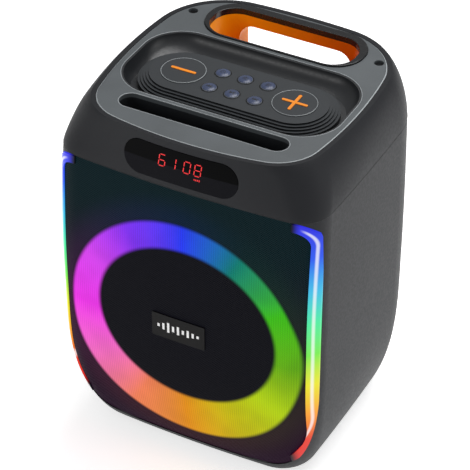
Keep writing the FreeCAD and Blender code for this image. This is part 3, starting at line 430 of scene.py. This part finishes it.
def mesh_of(name, bm, smooth=False):
    bmesh.ops.recalc_face_normals(bm, faces=bm.faces)
    mesh = bpy.data.meshes.new(name)
    bm.to_mesh(mesh)
    bm.free()
    for polygon in mesh.polygons:
        polygon.use_smooth = smooth
    return mesh


def tube(bm, points, radius, sides=8, closed=True):
    """A tube along points, joined into a loop or capped at its two ends."""
    count = len(points)
    rings = []
    for index, point in enumerate(points):
        before, after = (index - 1) % count, (index + 1) % count
        if not closed:
            before, after = max(index - 1, 0), min(index + 1, count - 1)
        along = (points[after] - points[before]).normalized()
        side = along.cross(Vector((0, 0, 1)) if abs(along.z) < 0.9 else Vector((1, 0, 0))).normalized()
        up = side.cross(along)
        rings.append([bm.verts.new(point + radius * (math.cos(turn) * side + math.sin(turn) * up))
                      for turn in (math.tau * step / sides for step in range(sides))])
    if not closed:
        bm.faces.new(rings[0])
        bm.faces.new(rings[-1])
    for index in range(count if closed else count - 1):
        first, second = rings[index], rings[(index + 1) % count]
        for step in range(sides):
            after = (step + 1) % sides
            bm.faces.new((first[step], first[after], second[after], second[step]))


def rounded_loop(half, low, high, corner, z, steps=10):
    """Points of a rounded rectangle in the level plane at z."""
    points = []
    for centre_x, centre_y, start in ((half - corner, low + corner, -90), (half - corner, high - corner, 0),
                                      (corner - half, high - corner, 90), (corner - half, low + corner, 180)):
        for step in range(steps + 1):
            turn = math.radians(start + 90 * step / steps)
            points.append(Vector((centre_x + corner * math.cos(turn), centre_y + corner * math.sin(turn), z)))
    return points


def circle_loop(x, y, z, radius, steps=48):
    return [Vector((x + radius * math.cos(turn), y + radius * math.sin(turn), z))
            for turn in (math.tau * step / steps for step in range(steps))]


def bead(name, loop, radius, material, body, closed=True):
    """A thin line along an edge, as a real bead: bright ones are painted highlights, dark ones are joints."""
    bm = bmesh.new()
    tube(bm, loop, radius, closed=closed)
    piece(name, mesh_of(name, bm, smooth=True), material, body)


def surface(node):
    """A function that gives the point of a node's front surface at x, z."""
    mesh = NODES[node].data
    tree = BVHTree.FromPolygons([v.co for v in mesh.vertices], [p.vertices for p in mesh.polygons])

    def at(x, z):
        hit = tree.ray_cast(Vector((x, -1, z)), Vector((0, 1, 0)))[0]
        return hit.y
    return at


def outer_loop(node, height):
    """The outermost closed outline of a node's mesh at a height, as ordered points."""
    bm = bmesh.new()
    bm.from_mesh(NODES[node].data)
    cut = bmesh.ops.bisect_plane(bm, geom=bm.verts[:] + bm.edges[:] + bm.faces[:],
                                 plane_co=(0, 0, height), plane_no=(0, 0, 1))["geom_cut"]
    found = [Vector(item.co) for item in cut if isinstance(item, bmesh.types.BMVert)]
    bm.free()
    count = 180
    rims = [None] * count
    for point in found:
        turn = int((math.atan2(point.y, point.x) / math.tau % 1) * count) % count
        if rims[turn] is None or point.xy.length > rims[turn].xy.length:
            rims[turn] = point
    return [point for point in rims if point is not None]


# ---------------------------------------------------------------- edges that catch the light

SLOT_INSET = 1.6 * MM
DISH_EDGE_CORNER = 36.2 * MM
DISH_EDGE_OUT = 0.25 * MM
KEY_RIM_RADIUS = 18.6 * MM
COLLAR_RADIUS = 7 * MM
SEAM_UP = 0.1 * MM


def key_box(name):
    """The middle of a key's box, and the height of its top."""
    low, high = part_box(name)
    return (low + high) / 2, high.z


def top_edges():
    """Bright beads round the tablet slot, the dish and the two volume keys: painted highlights."""
    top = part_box("top_panel")[1].z
    low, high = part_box("tablet_trough")
    slot_corner = (high.y - low.y) / 2 - SLOT_INSET - 0.1 * MM
    slot_loop = rounded_loop(high.x - SLOT_INSET, low.y + SLOT_INSET, high.y - SLOT_INSET, slot_corner, top)
    bead("slot_edge", slot_loop, 0.42 * MM, HIGHLIGHT_BEAD, "root")
    low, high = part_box("control_dish")
    dish_loop = rounded_loop(high.x + DISH_EDGE_OUT, low.y - DISH_EDGE_OUT, high.y + DISH_EDGE_OUT,
                             DISH_EDGE_CORNER, top - 0.1 * MM, steps=16)
    bead("dish_edge", dish_loop, 0.36 * MM, HIGHLIGHT_BEAD, "root")
    for body in ("volume_down", "volume_up"):
        middle, high_z = key_box(body + "_key")
        loop = circle_loop(middle.x, middle.y, high_z - 0.25 * MM, KEY_RIM_RADIUS)
        bead(body + "_rim", loop, 0.34 * MM, HIGHLIGHT_BEAD, body)


def seam():
    """Dark parting line between the cabinet and the upper housing, open at the handle's rear window."""
    loop = outer_loop("upper_housing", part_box("upper_housing")[0].z + SEAM_UP)
    window_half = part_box("handle_liner")[1].x
    solid = [index for index, point in enumerate(loop) if point.y < 0 or abs(point.x) > window_half]
    first = next(index for index in solid if index > 0 and index - 1 not in solid)
    start = solid.index(first)
    path = [loop[index] for index in solid[start:] + solid[:start]]
    bead("seam_line", path, 0.2 * MM, SEAM_GREY, "root", closed=False)


# ---------------------------------------------------------------- symbols

def ribbon(bm, start, end, wide, raise_to, thick=0.12 * MM, steps=6):
    """A flat bar from start to end that follows the surface given by raise_to."""
    along = end - start
    side = Vector((-along.y, along.x)).normalized() * wide / 2
    rows = []
    for step in range(steps + 1):
        centre = start + along * step / steps
        row = []
        for way in (-1, 1):
            spot = centre + way * side
            top = raise_to(spot)
            row.append((bm.verts.new(top[0]), bm.verts.new(top[0] - top[1] * thick)))
        rows.append(row)
    for first, second in zip(rows, rows[1:]):
        (a_top, a_low), (b_top, b_low) = first
        (c_top, c_low), (d_top, d_low) = second
        for face in ((a_top, b_top, d_top, c_top), (c_low, d_low, b_low, a_low),
                     (a_low, a_top, c_top, c_low), (b_top, b_low, d_low, d_top)):
            bm.faces.new(face)
    for a, b in (rows[0], rows[-1]):
        bm.faces.new((a[0], a[1], b[1], b[0]))


def unit(turn):
    return Vector((math.cos(turn), math.sin(turn)))


def arc_points(centre, radius, start, end, steps):
    turns = [math.radians(start + (end - start) * step / steps) for step in range(steps + 1)]
    return [centre + radius * unit(turn) for turn in turns]


def triangle(tip, back, half, rows=7):
    """A filled triangle as side-by-side strokes, pointing along x."""
    strokes = []
    for row in range(rows):
        share = (row + 0.5) / rows
        x = back + (tip - back) * share
        strokes.append((Vector((x, -half * (1 - share))), Vector((x, half * (1 - share)))))
    return strokes, abs(tip - back) / rows * 1.05


def symbols():
    """Strokes of each key's plain symbol, in millimetres about the key's centre: (start, end, width)."""
    line = 0.5
    centre = Vector((0, 0))

    def polyline(points):
        return [(a, b, line) for a, b in zip(points, points[1:])]

    def solid(tip, back, half):
        strokes, wide = triangle(tip, back, half)
        return [(a, b, wide) for a, b in strokes]

    power = polyline(arc_points(centre, 1.9, 125, 415, 14)) + [(Vector((0, 0.3)), Vector((0, 2.5)), line)]
    light = polyline(arc_points(centre, 1.0, 0, 360, 12))
    light += [(unit(turn) * 1.6, unit(turn) * 2.4, line)
              for turn in (math.tau * step / 8 for step in range(8))]
    mode = [(Vector((-1.8, y)), Vector((1.8, y)), line) for y in (-1.4, 0, 1.4)]
    play = solid(0.7, -2.0, 1.8) + [(Vector((x, -1.7)), Vector((x, 1.7)), line) for x in (1.4, 2.3)]
    forward = solid(0.1, -2.2, 1.5) + solid(2.0, -0.1, 1.5) + [(Vector((2.3, -1.5)), Vector((2.3, 1.5)), line)]
    backward = [(Vector((-a.x, a.y)), Vector((-b.x, b.y)), wide) for a, b, wide in forward]
    return {"power": power, "light": light, "mode": mode, "previous": backward, "play": play, "next": forward}


DOME_RADIUS = 5.9 * MM
DOME_HIGH = 1 * MM
DOME_RINGS = 9
DOME_SIDES = 40
SYMBOL_LIFT = 0.05 * MM


def dome_height(reach):
    """Height of the key's dome above its rim at a distance from its centre."""
    share = min(reach / DOME_RADIUS, 1)
    return DOME_HIGH * (1 - share * share) ** 0.8


def dome(middle, base_z):
    """Mesh of a domed cap with a closed underside."""
    bm = bmesh.new()

    def ring(reach, z):
        return [bm.verts.new((middle.x + reach * math.cos(turn), middle.y + reach * math.sin(turn), z))
                for turn in (math.tau * step / DOME_SIDES for step in range(DOME_SIDES))]

    def join(inner, outer):
        for step in range(DOME_SIDES):
            after = (step + 1) % DOME_SIDES
            bm.faces.new((inner[step], outer[step], outer[after], inner[after]))
    apex = bm.verts.new((middle.x, middle.y, base_z + dome_height(0)))
    reaches = [DOME_RADIUS * index / DOME_RINGS for index in range(1, DOME_RINGS + 1)]
    rings = [ring(reach, base_z + dome_height(reach)) for reach in reaches]
    for step in range(DOME_SIDES):
        bm.faces.new((apex, rings[0][step], rings[0][(step + 1) % DOME_SIDES]))
    for inner, outer in zip(rings, rings[1:]):
        join(inner, outer)
    foot = ring(DOME_RADIUS, base_z - 0.2 * MM)
    bm.faces.new(foot)
    join(rings[-1], foot)
    return bm


def small_keys():
    """Domed caps with inked symbols on the six small keys, and a dark collar round each in the island."""
    island_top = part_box("control_island")[1].z
    for name, strokes in symbols().items():
        middle, high_z = key_box(name + "_key")
        body = name + "_button"
        cap = mesh_of(name + "_dome", dome(middle, high_z), smooth=True)
        piece(name + "_dome", cap, KEY_DOME, body)

        def on_dome(spot):
            height = high_z + dome_height(spot.length * MM) + SYMBOL_LIFT
            return Vector((middle.x + spot.x * MM, middle.y + spot.y * MM, height)), Vector((0, 0, 1))
        bm = bmesh.new()
        for start, end, wide in strokes:
            ribbon(bm, start, end, wide, on_dome, steps=4)
        piece(name + "_symbol", mesh_of(name + "_symbol", bm), SYMBOL_INK, body)
        collar = circle_loop(middle.x, middle.y, island_top, COLLAR_RADIUS)
        bead(name + "_collar", collar, 0.22 * MM, EDGE_DARK, "root")


# ---------------------------------------------------------------- display and badge

SEGMENTS = {"a": ((0, 1), (1, 1)), "b": ((1, 1), (1, 0)), "c": ((1, 0), (1, -1)), "d": ((0, -1), (1, -1)),
            "e": ((0, 0), (0, -1)), "f": ((0, 1), (0, 0)), "g": ((0, 0), (1, 0))}
DIGITS = {"0": "abcdef", "1": "bc", "6": "acdefg", "8": "abcdefg"}
# Millimetres on the window, about its middle.
DIGIT_WIDE = 5.6
DIGIT_HALF = 5.2
DIGIT_STARTS = (-18.5, -9.0, 4.0, 13.5)
DIGIT_TEXT = "6108"
DIGIT_SLANT = 0.12
DIGIT_LINE = 0.8
DIGIT_RISE = 3.5
LEVEL_LOW = -9.6
LEVEL_TOP = -8.2
LEVEL_PITCH = 1.5


def drawing_on(node, rise, lift):
    """A function that puts a spot in millimetres about a node's middle just in front of its surface."""
    at = surface(node)
    low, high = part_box(node)
    centre_z = (low.z + high.z) / 2 + rise * MM

    def place(spot):
        x, z = spot.x * MM, centre_z + spot.y * MM
        return Vector((x, at(x, z) - lift, z)), Vector((0, -1, 0))
    return place


def display_digits():
    """Red seven-segment figures and a small level sign on the display window."""
    on_window = drawing_on("display_window", DIGIT_RISE, 0.08 * MM)
    for index, (start, figure) in enumerate(zip(DIGIT_STARTS, DIGIT_TEXT)):
        bm = bmesh.new()
        for key in DIGITS[figure]:
            a, b = [Vector((start + across * DIGIT_WIDE + up * DIGIT_HALF * DIGIT_SLANT, up * DIGIT_HALF))
                    for across, up in SEGMENTS[key]]
            shrink = (b - a).normalized() * 0.7
            ribbon(bm, a + shrink, b - shrink, DIGIT_LINE, on_window, steps=2)
        name = f"display_figure_{index + 1}"
        piece(name, mesh_of(name, bm), DIGIT_RED, "root")
    bm = bmesh.new()
    for step in range(4):
        x = DIGIT_STARTS[-1] + step * LEVEL_PITCH
        ribbon(bm, Vector((x, LEVEL_LOW)), Vector((x, LEVEL_TOP + 0.1 * step)), 0.8, on_window, steps=1)
    piece("display_level", mesh_of("display_level", bm), DIGIT_RED, "root")


# Heights of the bars of the mark, their pitch and their width, in millimetres.
BADGE_BARS = (3.2, 6.6, 10.4, 5.8, 8.6, 4.2, 7.4, 4.8, 2.8)
BADGE_PITCH = 4.6
BADGE_BAR_WIDE = 2.1


def badge_mark():
    """A plain sound-level mark of upright bars on the badge plate."""
    on_badge = drawing_on("badge_plate", 0, 0.06 * MM)
    bm = bmesh.new()
    for index, tall in enumerate(BADGE_BARS):
        x = (index - (len(BADGE_BARS) - 1) / 2) * BADGE_PITCH
        ribbon(bm, Vector((x, -tall / 2)), Vector((x, tall / 2)), BADGE_BAR_WIDE, on_badge, steps=2)
    piece("badge_mark", mesh_of("badge_mark", bm), MARK_WHITE, "root")


# ---------------------------------------------------------------- stage, light and camera

FLOOR_HALF = 8
FLOOR_GLOW = 0.62
SKY_STRENGTH = 0.32


def floor():
    """A plain white floor that glows a little, so that it stays white under soft light."""
    bm = bmesh.new()
    bmesh.ops.create_grid(bm, x_segments=2, y_segments=2, size=FLOOR_HALF)
    mesh = mesh_of("floor", bm)
    ground = bpy.data.objects.new("floor", mesh)
    bpy.context.scene.collection.objects.link(ground)
    graph = Graph("floor_white", roughness=0.9)
    graph.set("Base Color", graph.mix(graph.noise(3), shade(248, 248, 248), shade(252, 252, 252)))
    graph.set("Emission Color", (1, 1, 1, 1))
    graph.set("Emission Strength", FLOOR_GLOW)
    mesh.materials.append(graph.material)


def softbox(name, place, size, power, aim=(0, 0, 0.15)):
    data = bpy.data.lights.new(name, "AREA")
    data.shape = "RECTANGLE"
    data.size, data.size_y = size
    data.energy = power
    lamp = bpy.data.objects.new(name, data)
    lamp.location = place
    lamp.rotation_euler = (Vector(aim) - Vector(place)).to_track_quat("-Z", "Y").to_euler()
    bpy.context.scene.collection.objects.link(lamp)


def lights():
    world = bpy.data.worlds.new("studio")
    world.use_nodes = True
    background = world.node_tree.nodes["Background"]
    background.inputs[0].default_value = (1, 1, 1, 1)
    background.inputs[1].default_value = SKY_STRENGTH
    bpy.context.scene.world = world
    softbox("top_box", (0.2, 0.5, 1.6), (1.2, 0.9), 17)
    softbox("right_box", (1.8, 0.3, 0.9), (0.8, 1.2), 5)
    softbox("front_box", (-0.9, -1.8, 1.2), (0.9, 0.7), 7)


CAMERA_PLACE = Vector((740.4, -1434.6, 1384.4)) * MM
CAMERA_YAW = 27.51
CAMERA_PITCH = 36.91
CAMERA_ROLL = 0.34
CAMERA_LENS = 181.0


def camera():
    """A long lens from the front right and above, with a slight roll."""
    data = bpy.data.cameras.new("camera")
    data.lens = CAMERA_LENS
    data.sensor_width = 36
    data.clip_start = 0.05
    data.clip_end = 50
    made = bpy.data.objects.new("camera", data)
    yaw, pitch, roll = (math.radians(angle) for angle in (CAMERA_YAW, CAMERA_PITCH, CAMERA_ROLL))
    forward = Vector((-math.sin(yaw) * math.cos(pitch), math.cos(yaw) * math.cos(pitch), -math.sin(pitch)))
    right = Vector((math.cos(yaw), math.sin(yaw), 0))
    up = right.cross(forward)
    across = right * math.cos(roll) + up * math.sin(roll)
    above = up * math.cos(roll) - right * math.sin(roll)
    made.matrix_world = Matrix((across, above, -forward)).transposed().to_4x4()
    made.location = CAMERA_PLACE
    bpy.context.scene.collection.objects.link(made)
    bpy.context.scene.camera = made


top_edges()
seam()
small_keys()
display_digits()
badge_mark()
floor()
lights()
camera()
bpy.context.scene.view_settings.view_transform = "Standard"
